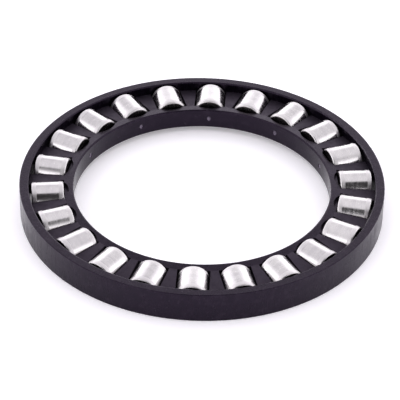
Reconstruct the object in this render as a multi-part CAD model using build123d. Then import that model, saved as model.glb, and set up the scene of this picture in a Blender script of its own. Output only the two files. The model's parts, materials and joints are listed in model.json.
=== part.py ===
from build123d import *

import os

# Thrust cylindrical roller and cage assembly, 60 mm bore, 85 mm outside diameter.
# One moulded cage ring carries 22 steel rollers, each lying along a radius in its own pocket.
# Millimetres. The origin is on the bearing's axis, halfway between its two raceway planes.

# Driving dimensions
BORE_DIAMETER = 60.0
OUTSIDE_DIAMETER = 85.0
ROLLER_COUNT = 22
ROLLER_DIAMETER = 7.5
ROLLER_LENGTH = 7.5
ROLLER_CIRCLE_RADIUS = 36.0
FIRST_ROLLER_ANGLE = 90.0

# Cage ring: a tall rim outside, a lower ring inside, and webs whose faces slope down outwards
RIM_INSIDE_RADIUS = 40.35
RIM_HEIGHT = 7.3
INNER_RING_HEIGHT = 5.0
WEB_HEIGHT_AT_RIM = 2.7
RIM_OUTER_EDGE_ROUND = 0.15
RIM_INNER_EDGE_ROUND = 0.3
BORE_EDGE_ROUND = 0.3

# Pockets, with a snap lip along each side, above and below, that keeps the roller in
SIDE_CLEARANCE = 0.1
END_CLEARANCE = 0.2
LIP_STAND_OUT = 0.15
LIP_START_HEIGHT = 1.0

# Recess in the inner ring at each roller's end, above and below
RECESS_WIDTH = 5.6
RECESS_LENGTH = 0.95
RECESS_FLOOR_HEIGHT = 1.5

# Gate marks left by moulding on the bore wall
GATE_COUNT = 11
GATE_WIDTH = 1.4
GATE_DEPTH = 0.2
GATE_STUB_WIDTH = 0.6
GATE_STUB_HEIGHT = 0.14

# Rollers
ROLLER_CORNER_ROUND = 0.4
ROLLER_RELIEF_LENGTH = 1.2
ROLLER_RELIEF_DROP = 0.02

# Sizes that follow
BORE_RADIUS = BORE_DIAMETER / 2
OUTSIDE_RADIUS = OUTSIDE_DIAMETER / 2
ROLLER_RADIUS = ROLLER_DIAMETER / 2
POCKET_HALF_WIDTH = ROLLER_RADIUS + SIDE_CLEARANCE
POCKET_INNER_END = ROLLER_CIRCLE_RADIUS - ROLLER_LENGTH / 2 - END_CLEARANCE
ROLLER_PITCH_ANGLE = 360.0 / ROLLER_COUNT


def turned(upper_half):
    """A ring whose section is this outline above the bearing's middle and its mirror image below."""
    lower_half = [(radius, -height) for radius, height in reversed(upper_half)]
    return revolve(Plane.XZ * make_face(Polyline(*upper_half, *lower_half, close=True)), axis=Axis.Z)


def rounded(ring, radius, height, edge_round):
    """The ring with its circular edges of this radius and height, above and below, rounded."""
    edges = [
        edge
        for edge in ring.edges().filter_by(GeomType.CIRCLE)
        if abs(edge.radius - radius) < 0.01 and abs(abs(edge.center().Z) - height) < 0.01
    ]
    return fillet(edges, edge_round)


def rim():
    """The tall ring outside the rollers, with a flat top and bottom."""
    half_height = RIM_HEIGHT / 2
    ring = turned([(RIM_INSIDE_RADIUS, half_height), (OUTSIDE_RADIUS, half_height)])
    ring = rounded(ring, OUTSIDE_RADIUS, half_height, RIM_OUTER_EDGE_ROUND)
    return rounded(ring, RIM_INSIDE_RADIUS, half_height, RIM_INNER_EDGE_ROUND)


def half_height_at(radius):
    """Half the height of the inner ring and webs at this distance from the axis."""
    at_bore = INNER_RING_HEIGHT / 2
    slope = (at_bore - WEB_HEIGHT_AT_RIM / 2) / (RIM_INSIDE_RADIUS - BORE_RADIUS)
    return at_bore - slope * (radius - BORE_RADIUS)


def field():
    """The inner ring and the disc that the webs are cut from, sloping down into the rim."""
    buried_radius = (RIM_INSIDE_RADIUS + OUTSIDE_RADIUS) / 2
    radii = (BORE_RADIUS, buried_radius)
    ring = turned([(radius, half_height_at(radius)) for radius in radii])
    return rounded(ring, BORE_RADIUS, INNER_RING_HEIGHT / 2, BORE_EDGE_ROUND)


def end_recess():
    """A round-backed recess in the inner ring, above a roller's inner end, and its mirror image."""
    circle_radius = (RECESS_LENGTH**2 + (RECESS_WIDTH / 2) ** 2) / (2 * RECESS_LENGTH)
    circle = Pos(POCKET_INNER_END - RECESS_LENGTH + circle_radius, 0) * Circle(circle_radius)
    outline = circle & Pos(POCKET_INNER_END, 0) * Rectangle(2 * RECESS_LENGTH, RECESS_WIDTH)
    upper = Pos(0, 0, RECESS_FLOOR_HEIGHT) * extrude(outline, amount=RIM_HEIGHT)
    return upper + mirror(upper, about=Plane.XY)


def pocket():
    """The space cut out of the cage for a roller along +X, narrowed by its snap lips."""
    lip_face = POCKET_HALF_WIDTH - LIP_STAND_OUT
    upper_right = [
        (POCKET_HALF_WIDTH, LIP_START_HEIGHT),
        (lip_face, LIP_START_HEIGHT + LIP_STAND_OUT),
        (lip_face, RIM_HEIGHT),
    ]
    upper_left = [(-width, height) for width, height in reversed(upper_right)]
    lower_half = [(-width, -height) for width, height in upper_right + upper_left]
    section = make_face(Polyline(*upper_right, *upper_left, *lower_half, close=True))
    space = extrude(Plane.YZ * section, amount=OUTSIDE_RADIUS - POCKET_INNER_END)
    return Pos(POCKET_INNER_END, 0, 0) * space + end_recess()


def gate_mark():
    """A shallow round dimple in the bore wall at +X, and the stub that stands inside it."""
    ball_radius = (GATE_DEPTH**2 + (GATE_WIDTH / 2) ** 2) / (2 * GATE_DEPTH)
    dimple = Pos(BORE_RADIUS + GATE_DEPTH - ball_radius, 0, 0) * Sphere(ball_radius)
    stub_centre = BORE_RADIUS + GATE_DEPTH - GATE_STUB_HEIGHT / 2
    stub = Pos(stub_centre, 0, 0) * Rot(0, 90, 0) * Cylinder(GATE_STUB_WIDTH / 2, GATE_STUB_HEIGHT)
    return dimple - stub


def cage():
    """The moulded cage, one solid: rim, inner ring, webs, pockets with snap lips, gate marks."""
    turns = [Rot(0, 0, FIRST_ROLLER_ANGLE + i * ROLLER_PITCH_ANGLE) for i in range(ROLLER_COUNT)]
    gate_step = ROLLER_COUNT // GATE_COUNT
    pockets = [turn * pocket() for turn in turns]
    gates = [turn * gate_mark() for turn in turns[::gate_step]]
    return rim() + (field() - pockets - gates)


def roller(index):
    """A roller with flat ends, rounded corners and slightly relieved ends, in pocket `index`."""
    half_length = ROLLER_LENGTH / 2
    relief_start = half_length - ROLLER_RELIEF_LENGTH
    outline = [
        (-half_length, 0),
        (-half_length, ROLLER_RADIUS - ROLLER_RELIEF_DROP),
        (-relief_start, ROLLER_RADIUS),
        (relief_start, ROLLER_RADIUS),
        (half_length, ROLLER_RADIUS - ROLLER_RELIEF_DROP),
        (half_length, 0),
    ]
    body = revolve(make_face(Polyline(*outline, close=True)), axis=Axis.X)
    end_corners = [edge for edge in body.edges() if abs(abs(edge.center().X) - half_length) < 0.01]
    body = fillet(end_corners, ROLLER_CORNER_ROUND)
    turn = Rot(0, 0, FIRST_ROLLER_ANGLE + index * ROLLER_PITCH_ANGLE)
    return turn * Pos(ROLLER_CIRCLE_RADIUS, 0, 0) * body


os.makedirs("parts", exist_ok=True)
export_step(cage(), "parts/cage.step")
for index in range(ROLLER_COUNT):
    export_step(roller(index), f"parts/roller_{index + 1:02d}.step")
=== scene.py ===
import json
import math

import bmesh
import bpy
from mathutils import Matrix, Quaternion, Vector


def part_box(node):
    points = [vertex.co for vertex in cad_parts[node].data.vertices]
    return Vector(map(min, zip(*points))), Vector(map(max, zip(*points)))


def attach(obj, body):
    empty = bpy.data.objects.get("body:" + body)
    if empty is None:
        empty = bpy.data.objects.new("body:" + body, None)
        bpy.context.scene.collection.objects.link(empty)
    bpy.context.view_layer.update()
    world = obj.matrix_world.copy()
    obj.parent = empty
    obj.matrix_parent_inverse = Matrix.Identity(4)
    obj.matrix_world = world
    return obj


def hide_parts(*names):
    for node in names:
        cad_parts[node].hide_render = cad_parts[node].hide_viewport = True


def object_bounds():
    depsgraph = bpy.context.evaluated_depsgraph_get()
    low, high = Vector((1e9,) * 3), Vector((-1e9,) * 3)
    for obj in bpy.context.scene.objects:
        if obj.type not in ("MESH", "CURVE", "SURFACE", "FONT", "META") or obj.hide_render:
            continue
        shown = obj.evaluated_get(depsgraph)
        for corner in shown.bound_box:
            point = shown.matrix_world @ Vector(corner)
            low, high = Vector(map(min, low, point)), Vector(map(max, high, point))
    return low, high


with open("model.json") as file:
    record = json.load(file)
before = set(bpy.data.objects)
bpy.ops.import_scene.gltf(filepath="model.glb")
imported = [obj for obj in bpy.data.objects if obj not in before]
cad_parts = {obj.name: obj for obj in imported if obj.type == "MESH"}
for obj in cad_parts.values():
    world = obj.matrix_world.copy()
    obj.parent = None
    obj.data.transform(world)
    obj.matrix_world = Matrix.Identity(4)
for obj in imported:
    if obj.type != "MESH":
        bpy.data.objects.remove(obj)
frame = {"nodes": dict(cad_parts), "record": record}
cad_low, cad_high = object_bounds()

MM = 0.001

# Sizes read from the frame. The first roller lies along +Y.
OUTSIDE_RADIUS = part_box("cage")[1].x
FLOOR_HEIGHT = cad_low.z
mounts = {mount["name"]: mount for mount in frame["record"]["mounts"]}
BORE_RADIUS = mounts["bore"]["dims"]["r_mm"] * MM
rollers = sorted(name for name in frame["nodes"] if name.startswith("roller_"))
ROLLER_PITCH = 2 * math.pi / len(rollers)
FIRST_ROLLER_ANGLE = math.pi / 2
first_low, first_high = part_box(rollers[0])
ROLLER_RADIUS = first_high.z
ROLLER_LENGTH = first_high.y - first_low.y
ROLLER_CIRCLE_RADIUS = (first_high.y + first_low.y) / 2

# Webs between the pockets, which are rougher than the rings and given a lighter colour as painted
# light, and how softly that starts and ends
WEB_START = ROLLER_CIRCLE_RADIUS - ROLLER_LENGTH / 2
WEB_END = ROLLER_CIRCLE_RADIUS + ROLLER_LENGTH / 2 + 0.55 * MM
WEB_START_FADE = 0.2 * MM
WEB_END_FADE = 0.05 * MM

# The bore wall's skin, and the gate marks: broken-off stubs in it, one behind every second roller,
# painted pale as a painted highlight
BORE_SKIN = 0.05 * MM
GATE_PITCH = 2 * ROLLER_PITCH
GATE_RADIUS = 0.55 * MM
GATE_CORE_RADIUS = 0.5 * GATE_RADIUS
GATE_FLATTENING = 0.7
GATE_DEPTH = 0.3 * MM

# In both materials, a pattern is its cycles per metre, detail and roughness, a bump is its strength and
# height, and four numbers turn a pattern's low and high value into a new low and high.

# Plastic
FLOW = (220.0, 3.0, 0.5)
BLOTCHES = (650.0, 3.0, 0.6)
STREAKS = (900.0, 2.0, 0.5)
SPECKS = (2600.0, 1.0, 0.5)
# Painted highlight: noise that breaks up the pale gate marks
TORN_GATE_HIGHLIGHT = (2800.0, 2.0, 0.5)
GRAIN = (5200.0, 4.0, 0.65)
STREAK_STRETCH = (1, 1, 0.12)
PLASTIC_TONES = (
    (0.0, (0.0016, 0.0013, 0.0036)),
    (0.5, (0.0040, 0.0022, 0.0058)),
    (1.0, (0.0175, 0.0150, 0.0205)),
)
# Painted light: the webs' lighter colour, standing in for the light they catch
WEB_PAINTED_LIGHT_COLOUR = (0.030, 0.026, 0.033)
SPECK_COLOUR = (0.09, 0.085, 0.10)
SPECK_SHARE = 0.35
SPECK_MASK = (0.70, 0.80, 0.0, 1.0)
# Painted highlight: where the noise turns the gate marks pale
TORN_GATE_HIGHLIGHT_MASK = (0.38, 0.62, 0.45, 1.0)
# Painted light: how much of the webs' lighter colour shows over the mottled plastic
WEB_PAINTED_LIGHT_SHARE = (0.25, 0.6, 0.55, 1.0)
# Painted highlight: the pale colour of the gate marks
GATE_HIGHLIGHT_COLOUR = (0.21, 0.185, 0.23)
BLOTCH_TONE = (0.32, 0.68, 0.0, 0.7)
# Painted light: how far the webs' tone is raised towards the lighter end
WEB_PAINTED_LIGHT_TONE = 0.45
PLASTIC_ROUGHNESS = (0.3, 0.7, 0.22, 0.30)
STREAK_ROUGHNESS = (0.35, 0.7, -0.03, 0.05)
SPECK_ROUGHNESS = 0.1
WEB_ROUGHNESS = 0.26
BORE_ROUGHNESS = -0.09
GRAIN_BUMP = (0.7, 0.016 * MM)
STREAK_BUMP = (0.5, 0.03 * MM)
BLOTCH_BUMP = (0.3, 0.02 * MM)
EDGE_ROUND = 0.12 * MM
EDGE_SAMPLES = 4
PLASTIC_IOR = 1.42
PLASTIC_TINT = (0.88, 0.70, 1.0)

# Steel, with its patterns drawn out round the roller
LAY = (9000.0, 3.0, 0.6)
LAY_STRETCH = (1, 0.02, 0.02)
BANDS = (3100.0, 2.0, 0.7)
BAND_STRETCH = (1, 0.03, 0.03)
SMUDGES = (420.0, 3.0, 0.5)
STAINS = (1500.0, 3.0, 0.6)
STEEL_TONES = ((0.0, (0.53, 0.515, 0.525)), (1.0, (0.70, 0.685, 0.675)))
FACE_COLOUR = (0.38, 0.36, 0.35)
SMUDGE_TONE = (0.3, 0.7, 0.0, 0.35)
VARIETY_TONE = 0.3
BAND_TONE = (0.35, 0.65, 0.0, 0.15)
STAIN_TONE = (0.35, 0.65, 0.0, 0.12)
STEEL_ROUGHNESS = (0.3, 0.7, 0.13, 0.20)
END_ROUGHNESS = 0.22
BAND_ROUGHNESS = (0.4, 0.65, 0.0, 0.06)
STAIN_ROUGHNESS = (0.5, 0.7, 0.0, 0.04)
FACE_ROUGHNESS = -0.20
VARIETY_ROUGHNESS = 0.03
LAY_BUMP = (0.2, 0.004 * MM)
BAND_BUMP = (0.14, 0.006 * MM)
RELIEF_FADE = (-0.05 * MM, 0.15 * MM)
FACE_FADE = (-0.5 * MM, -0.3 * MM)

# Roller outline
ROLLER_CORNER_ROUND = 0.4 * MM
ROLLER_RELIEF_LENGTH = 1.2 * MM
ROLLER_RELIEF_DROP = 0.02 * MM
ROLLER_DIMPLE_RADIUS = 1.3 * MM
ROLLER_DIMPLE_DEPTH = 0.12 * MM
DIMPLE_RINGS = (0.7, 0.35)
SHOULDER = 0.1 * MM
DIMPLE_BORDER = 0.15 * MM
ROLLER_STEPS = 128
CORNER_STEPS = 6

# Camera: angles in degrees, lens and sensor in millimetres, the rest in metres
CAMERA_AZIMUTH = 2.5
CAMERA_ELEVATION = 37.12
CAMERA_ROLL = 1.21
CAMERA_DISTANCE = 12.2 * OUTSIDE_RADIUS
CAMERA_LENS = 198.6
CAMERA_SENSOR = 36.0
CAMERA_CLIP = (0.01, 20)
AIM_RIGHT = -0.41 * MM
AIM_UP = 1.10 * MM

# Studio: a white tent, brighter low down, with a dark opening in front and above the camera
TENT_HEIGHTS = ((0.0, 1.55), (0.35, 1.50), (0.55, 1.26), (0.65, 0.78), (0.80, 0.80), (1.0, 0.90))
TENT_TINT = (1.0, 0.975, 1.02)
OPENING_AZIMUTH = 11.0
OPENING_ELEVATION = 43.0
OPENING_HALF_WIDTH = 25.0
OPENING_HALF_HEIGHT = 25.5
OPENING_BRIGHTNESS = 0.05
OPENING_EDGE = 0.12
LEAST_AHEAD = 0.01
FLOOR_SIZE = 6
FLOOR_COLOUR = (0.96, 0.955, 0.975)
FLOOR_GLOW_COLOUR = (0.99, 0.97, 1.0)
FLOOR_GLOW = 0.18
FLOOR_ROUGHNESS = 0.85
EXPOSURE = 0.2


def across_at(azimuth):
    """The level direction to the right, as seen from this azimuth."""
    turn = math.radians(azimuth)
    return Vector((math.cos(turn), math.sin(turn), 0))


def direction(azimuth, elevation):
    """The direction at this azimuth from straight in front (-Y) towards +X, and this elevation."""
    turn, rise = math.radians(azimuth), math.radians(elevation)
    return Vector((math.sin(turn) * math.cos(rise), -math.cos(turn) * math.cos(rise), math.sin(rise)))


def add_camera():
    back = direction(CAMERA_AZIMUTH, CAMERA_ELEVATION)
    right = across_at(CAMERA_AZIMUTH)
    up = back.cross(right)
    data = bpy.data.cameras.new("camera")
    data.lens = CAMERA_LENS
    data.sensor_width = CAMERA_SENSOR
    data.clip_start, data.clip_end = CAMERA_CLIP
    camera = bpy.data.objects.new("camera", data)
    bpy.context.scene.collection.objects.link(camera)
    centre = Vector((0, 0, FLOOR_HEIGHT))
    camera.location = centre + back * CAMERA_DISTANCE
    towards = centre + right * AIM_RIGHT + up * AIM_UP - camera.location
    camera.rotation_mode = "QUATERNION"
    roll = Quaternion((0, 0, 1), math.radians(CAMERA_ROLL))
    camera.rotation_quaternion = towards.to_track_quat("-Z", "Y") @ roll
    bpy.context.scene.camera = camera


class Tree:
    """A node tree that is filled by short calls."""

    def __init__(self, tree):
        self.tree = tree
        self.column = 0

    def add(self, kind, settings=None, **inputs):
        """A node; each input is a number, a tuple or another node's output socket."""
        made = self.tree.nodes.new(kind)
        self.column += 1
        made.location = (self.column * 180, -(self.column % 4) * 160)
        for name, value in (settings or {}).items():
            setattr(made, name, value)
        for name, value in inputs.items():
            key = int(name[1:]) if name[0] == "i" and name[1:].isdigit() else name.replace("_", " ")
            socket = made.inputs[key]
            if isinstance(value, bpy.types.NodeSocket):
                self.tree.links.new(value, socket)
            else:
                socket.default_value = value
        return made

    def math(self, operation, *values):
        inputs = {f"i{place}": value for place, value in enumerate(values)}
        return self.add("ShaderNodeMath", {"operation": operation}, **inputs).outputs[0]

    def total(self, *values):
        total = values[0]
        for value in values[1:]:
            total = self.math("ADD", total, value)
        return total

    def hypotenuse(self, one, other):
        squares = self.math("ADD", self.math("POWER", one, 2.0), self.math("POWER", other, 2.0))
        return self.math("SQRT", squares)

    def mapped(self, value, low, high, new_low, new_high):
        """The value rescaled from low..high to new_low..new_high, smoothly and clamped."""
        return self.add(
            "ShaderNodeMapRange", {"interpolation_type": "SMOOTHSTEP"},
            Value=value, From_Min=low, From_Max=high, To_Min=new_low, To_Max=new_high,
        ).outputs[0]

    def dot(self, vector, constant):
        made = self.add("ShaderNodeVectorMath", {"operation": "DOT_PRODUCT"}, i0=vector, i1=constant)
        return made.outputs["Value"]

    def scaled(self, vector, factors):
        made = self.add("ShaderNodeVectorMath", {"operation": "MULTIPLY"}, i0=vector, i1=factors)
        return made.outputs["Vector"]

    def noise(self, vector, scale, detail, roughness):
        made = self.add(
            "ShaderNodeTexNoise", Vector=vector, Scale=scale, Detail=detail, Roughness=roughness
        )
        return made.outputs["Fac"]

    def ramp(self, value, stops):
        """A colour ramp; each stop is a position and a colour."""
        made = self.add("ShaderNodeValToRGB", Fac=value)
        elements = made.color_ramp.elements
        while len(elements) < len(stops):
            elements.new(1.0)
        for element, (position, colour) in zip(elements, stops):
            element.position = position
            element.color = (*colour, 1)
        return made.outputs["Color"]

    def mix(self, share, colour, other):
        """The colour, turned into the other, constant one by this share."""
        made = self.add("ShaderNodeMix", {"data_type": "RGBA"}, i0=share, i6=colour, i7=(*other, 1))
        return made.outputs[2]

    def bump(self, height, strength, distance, normal=None):
        inputs = {"Height": height, "Strength": strength, "Distance": distance}
        if normal:
            inputs["Normal"] = normal
        return self.add("ShaderNodeBump", **inputs).outputs["Normal"]


def new_material(name):
    material = bpy.data.materials.new(name)
    material.use_nodes = True
    material.node_tree.nodes.clear()
    return material, Tree(material.node_tree)


def opening_shade(tree, towards):
    """How bright the tent is left by the opening: 1 outside it and OPENING_BRIGHTNESS inside."""
    middle = direction(OPENING_AZIMUTH, OPENING_ELEVATION)
    across = across_at(OPENING_AZIMUTH)
    ahead = tree.math("MAXIMUM", tree.dot(towards, middle), LEAST_AHEAD)
    distances = []
    for axis, half_angle in ((across, OPENING_HALF_WIDTH), (middle.cross(across), OPENING_HALF_HEIGHT)):
        off_middle = tree.math("DIVIDE", tree.dot(towards, axis), ahead)
        off_middle = tree.math("DIVIDE", off_middle, math.tan(math.radians(half_angle)))
        distances.append(tree.math("ABSOLUTE", off_middle))
    far = tree.math("MAXIMUM", *distances)
    return tree.mapped(far, 1 - OPENING_EDGE, 1 + OPENING_EDGE, OPENING_BRIGHTNESS, 1.0)


def add_world():
    """The tent's brightness by direction, seen in the rollers and as soft light."""
    world = bpy.data.worlds.new("studio")
    world.use_nodes = True
    world.node_tree.nodes.clear()
    tree = Tree(world.node_tree)
    towards = tree.add("ShaderNodeTexCoord").outputs["Generated"]
    top = max(level for _, level in TENT_HEIGHTS)
    stops = [(at, [level / top * part for part in TENT_TINT]) for at, level in TENT_HEIGHTS]
    tent = tree.ramp(tree.dot(towards, (0, 0, 1)), stops)
    strength = tree.math("MULTIPLY", opening_shade(tree, towards), top)
    light = tree.add("ShaderNodeBackground", Color=tent, Strength=strength)
    tree.add("ShaderNodeOutputWorld", Surface=light.outputs[0])
    bpy.context.scene.world = world


def add_floor():
    bpy.ops.mesh.primitive_plane_add(size=FLOOR_SIZE, location=(0, 0, FLOOR_HEIGHT))
    floor = bpy.context.object
    floor.name = "floor"
    material, tree = new_material("floor_paper")
    paper = tree.add(
        "ShaderNodeBsdfPrincipled", Base_Color=(*FLOOR_COLOUR, 1), Roughness=FLOOR_ROUGHNESS,
        Emission_Color=(*FLOOR_GLOW_COLOUR, 1), Emission_Strength=FLOOR_GLOW,
    )
    tree.add("ShaderNodeOutputMaterial", Surface=paper.outputs["BSDF"])
    floor.data.materials.append(material)


def cage_regions(tree, place):
    """How far a point of the cage is in the webs, on the bore wall and in a gate mark, 0 to 1."""
    parts = tree.add("ShaderNodeSeparateXYZ", Vector=place).outputs
    from_axis = tree.hypotenuse(parts["X"], parts["Y"])
    in_webs = tree.math(
        "MULTIPLY",
        tree.mapped(from_axis, WEB_START - WEB_START_FADE, WEB_START + WEB_START_FADE, 0.0, 1.0),
        tree.mapped(from_axis, WEB_END - WEB_END_FADE, WEB_END, 1.0, 0.0),
    )
    on_bore = tree.math("LESS_THAN", from_axis, BORE_RADIUS + BORE_SKIN)

    turn = tree.math("SUBTRACT", tree.math("ARCTAN2", parts["Y"], parts["X"]), FIRST_ROLLER_ANGLE)
    turns = tree.math("DIVIDE", turn, GATE_PITCH)
    off_gate = tree.math("SUBTRACT", turns, tree.math("ROUND", turns))
    beside = tree.math("MULTIPLY", off_gate, GATE_PITCH * BORE_RADIUS)
    from_gate = tree.hypotenuse(beside, tree.math("MULTIPLY", parts["Z"], GATE_FLATTENING))
    near_bore = tree.math("LESS_THAN", from_axis, BORE_RADIUS + GATE_DEPTH)
    in_gate = tree.mapped(from_gate, GATE_CORE_RADIUS, GATE_RADIUS, 1.0, 0.0)
    return in_webs, on_bore, tree.math("MULTIPLY", in_gate, near_bore)


def plastic():
    """Black glass-fibre filled nylon: satin, with moulded grain, rougher webs given a lighter colour as
    painted light, and gate marks painted pale as a painted highlight.
    """
    material, tree = new_material("cage_plastic")
    place = tree.add("ShaderNodeTexCoord").outputs["Object"]
    in_webs, on_bore, in_gate = cage_regions(tree, place)
    flow = tree.noise(place, *FLOW)
    blotches = tree.noise(place, *BLOTCHES)
    streaks = tree.noise(tree.scaled(place, STREAK_STRETCH), *STREAKS)
    speckle = tree.mapped(tree.noise(place, *SPECKS), *SPECK_MASK)
    # Painted highlight: noise that breaks up the pale gate marks
    torn_gate_highlight = tree.mapped(tree.noise(place, *TORN_GATE_HIGHLIGHT), *TORN_GATE_HIGHLIGHT_MASK)

    # Painted light: the webs get a lighter tone and colour for the light they catch
    tone = tree.total(tree.mapped(blotches, *BLOTCH_TONE), tree.math("MULTIPLY", in_webs, WEB_PAINTED_LIGHT_TONE))
    web_painted_light = tree.math("MULTIPLY", in_webs, tree.mapped(blotches, *WEB_PAINTED_LIGHT_SHARE))
    colour = tree.mix(web_painted_light, tree.ramp(tone, PLASTIC_TONES), WEB_PAINTED_LIGHT_COLOUR)
    colour = tree.mix(tree.math("MULTIPLY", speckle, SPECK_SHARE), colour, SPECK_COLOUR)
    # Painted highlight: the gate marks turned pale
    colour = tree.mix(tree.math("MULTIPLY", torn_gate_highlight, in_gate), colour, GATE_HIGHLIGHT_COLOUR)

    rough = tree.total(
        tree.mapped(flow, *PLASTIC_ROUGHNESS),
        tree.math("MULTIPLY", speckle, SPECK_ROUGHNESS),
        tree.mapped(streaks, *STREAK_ROUGHNESS),
        tree.math("MULTIPLY", in_webs, WEB_ROUGHNESS),
        tree.math("MULTIPLY", on_bore, BORE_ROUGHNESS),
    )
    normal = tree.add("ShaderNodeBevel", {"samples": EDGE_SAMPLES}, Radius=EDGE_ROUND).outputs["Normal"]
    normal = tree.bump(tree.noise(place, *GRAIN), *GRAIN_BUMP, normal)
    normal = tree.bump(streaks, *STREAK_BUMP, normal)
    normal = tree.bump(blotches, *BLOTCH_BUMP, normal)
    shader = tree.add(
        "ShaderNodeBsdfPrincipled", Base_Color=colour, Roughness=rough, IOR=PLASTIC_IOR,
        Specular_Tint=(*PLASTIC_TINT, 1), Normal=normal,
    )
    tree.add("ShaderNodeOutputMaterial", Surface=shader.outputs["BSDF"])
    return material


def steel():
    """Hardened bearing steel: finely ground, duller at the relieved ends, darker on the end faces."""
    material, tree = new_material("roller_steel")
    place = tree.add("ShaderNodeTexCoord").outputs["Object"]
    parts = tree.add("ShaderNodeSeparateXYZ", Vector=place).outputs
    along = tree.math("ABSOLUTE", parts["X"])
    from_axis = tree.hypotenuse(parts["Y"], parts["Z"])
    track_end = ROLLER_LENGTH / 2 - ROLLER_RELIEF_LENGTH
    on_end = tree.mapped(along, *[track_end + fade for fade in RELIEF_FADE], 0.0, 1.0)
    on_face = tree.mapped(from_axis, *[ROLLER_RADIUS + fade for fade in FACE_FADE], 1.0, 0.0)
    variety = tree.add("ShaderNodeObjectInfo").outputs["Random"]
    lay = tree.noise(tree.scaled(place, LAY_STRETCH), *LAY)
    bands = tree.noise(tree.scaled(place, BAND_STRETCH), *BANDS)
    smudge = tree.noise(place, *SMUDGES)
    stain = tree.noise(place, *STAINS)

    tone = tree.total(
        tree.mapped(smudge, *SMUDGE_TONE),
        tree.math("MULTIPLY", variety, VARIETY_TONE),
        tree.mapped(bands, *BAND_TONE),
        tree.mapped(stain, *STAIN_TONE),
    )
    colour = tree.mix(on_face, tree.ramp(tone, STEEL_TONES), FACE_COLOUR)
    rough = tree.total(
        tree.mapped(lay, *STEEL_ROUGHNESS),
        tree.math("MULTIPLY", on_end, END_ROUGHNESS),
        tree.mapped(bands, *BAND_ROUGHNESS),
        tree.mapped(stain, *STAIN_ROUGHNESS),
        tree.math("MULTIPLY", on_face, FACE_ROUGHNESS),
        tree.math("MULTIPLY", variety, VARIETY_ROUGHNESS),
    )
    normal = tree.bump(bands, *BAND_BUMP, tree.bump(lay, *LAY_BUMP))
    shader = tree.add(
        "ShaderNodeBsdfPrincipled", Base_Color=colour, Metallic=1.0, Roughness=rough, Normal=normal
    )
    tree.add("ShaderNodeOutputMaterial", Surface=shader.outputs["BSDF"])
    return material


def roller_outline():
    """Half the roller's outline, from the middle of its length towards the middle of its end face."""
    half = ROLLER_LENGTH / 2
    track_end = half - ROLLER_RELIEF_LENGTH
    shoulder_drop = SHOULDER * ROLLER_RELIEF_DROP / ROLLER_RELIEF_LENGTH
    outline = [
        (0.0, ROLLER_RADIUS),
        (track_end - SHOULDER, ROLLER_RADIUS),
        (track_end, ROLLER_RADIUS),
        (track_end + SHOULDER, ROLLER_RADIUS - shoulder_drop),
    ]
    corner_along = half - ROLLER_CORNER_ROUND
    corner_radius = ROLLER_RADIUS - ROLLER_RELIEF_DROP - ROLLER_CORNER_ROUND
    for step in range(CORNER_STEPS + 1):
        turn = math.pi / 2 * step / CORNER_STEPS
        outline.append((
            corner_along + ROLLER_CORNER_ROUND * math.sin(turn),
            corner_radius + ROLLER_CORNER_ROUND * math.cos(turn),
        ))
    outline.append((half, ROLLER_DIMPLE_RADIUS + DIMPLE_BORDER))
    outline.append((half, ROLLER_DIMPLE_RADIUS))
    for part in DIMPLE_RINGS:
        depth = ROLLER_DIMPLE_DEPTH * (1 - part ** 2)
        outline.append((half - depth, ROLLER_DIMPLE_RADIUS * part))
    return outline


def roller_mesh():
    """A roller along X, turned from its outline."""
    half = roller_outline()
    outline = [(-along, radius) for along, radius in reversed(half[1:])] + half
    turns = [2 * math.pi * step / ROLLER_STEPS for step in range(ROLLER_STEPS)]
    shape = bmesh.new()
    rings = []
    for along, radius in outline:
        points = [(along, radius * math.cos(turn), radius * math.sin(turn)) for turn in turns]
        rings.append([shape.verts.new(point) for point in points])
    for lower, upper in zip(rings, rings[1:]):
        for step in range(ROLLER_STEPS):
            after = (step + 1) % ROLLER_STEPS
            shape.faces.new((lower[step], upper[step], upper[after], lower[after]))
    for ring, end in ((rings[0], -1), (rings[-1], 1)):
        tip = shape.verts.new((end * (ROLLER_LENGTH / 2 - ROLLER_DIMPLE_DEPTH), 0, 0))
        for step in range(ROLLER_STEPS):
            after = (step + 1) % ROLLER_STEPS
            shape.faces.new((ring[step], tip, ring[after]))
    bmesh.ops.recalc_face_normals(shape, faces=shape.faces)
    mesh = bpy.data.meshes.new("ground_roller")
    shape.to_mesh(mesh)
    shape.free()
    mesh.shade_smooth()
    return mesh


def add_rollers(finish):
    """A ground roller for each CAD roller, on its body."""
    mesh = roller_mesh()
    mesh.materials.append(finish)
    for index, name in enumerate(rollers):
        piece = bpy.data.objects.new("ground_" + name, mesh)
        bpy.context.scene.collection.objects.link(piece)
        turn = Matrix.Rotation(FIRST_ROLLER_ANGLE + index * ROLLER_PITCH, 4, "Z")
        piece.matrix_world = turn @ Matrix.Translation((ROLLER_CIRCLE_RADIUS, 0, 0))
        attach(piece, name)
        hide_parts(name)


def finish_cage(finish):
    """The CAD cage, as it is, with its plastic."""
    cage = frame["nodes"]["cage"]
    cage.data.materials.clear()
    cage.data.materials.append(finish)


def set_view():
    view = bpy.context.scene.view_settings
    view.view_transform = "Standard"
    view.look = "Medium High Contrast"
    view.exposure = EXPOSURE


add_camera()
add_world()
add_floor()
add_rollers(steel())
finish_cage(plastic())
set_view()
